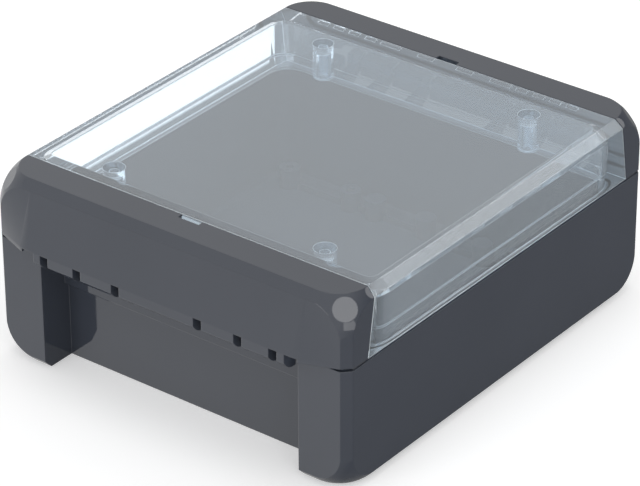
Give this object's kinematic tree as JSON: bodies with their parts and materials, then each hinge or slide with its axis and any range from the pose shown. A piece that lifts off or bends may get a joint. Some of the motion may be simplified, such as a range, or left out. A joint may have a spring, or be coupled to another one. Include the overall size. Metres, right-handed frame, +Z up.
{
  "type": "plastic project box",
  "caption": "Low rectangular electronics enclosure with a dark moulded base, a clear lid and a hinged clip-on cover over each end of the lid.",
  "frame": {"origin": "centre of the underside of the base", "axes": "+X from the front cover to the rear cover, +Y across the box, +Z up"},
  "size_m": [0.1512, 0.125, 0.06],
  "materials": {
    "dark_plastic": "smooth moulded plastic with clear reflections",
    "clear_plastic": "clear, slightly blue moulded plastic",
    "seal_rubber": "soft matt foam"
  },
  "bodies": {
    "base": {"base": "dark_plastic", "seal": "seal_rubber"},
    "front_cover": {"front_cover": "dark_plastic"},
    "lid": {"lid": "clear_plastic", "rear_cover": "dark_plastic"}
  },
  "joints": [
    {"name": "front_cover_hinge", "type": "hinge", "parent": "base", "child": "front_cover", "pos_m": [-0.0714, 0, 0.03965], "axis": [0, -1, 0], "range_deg": [0, 90]},
    {"name": "lid_hinge", "type": "hinge", "parent": "base", "child": "lid", "pos_m": [0.0714, 0, 0.03965], "axis": [0, 1, 0], "range_deg": [0, 90]}
  ]
}
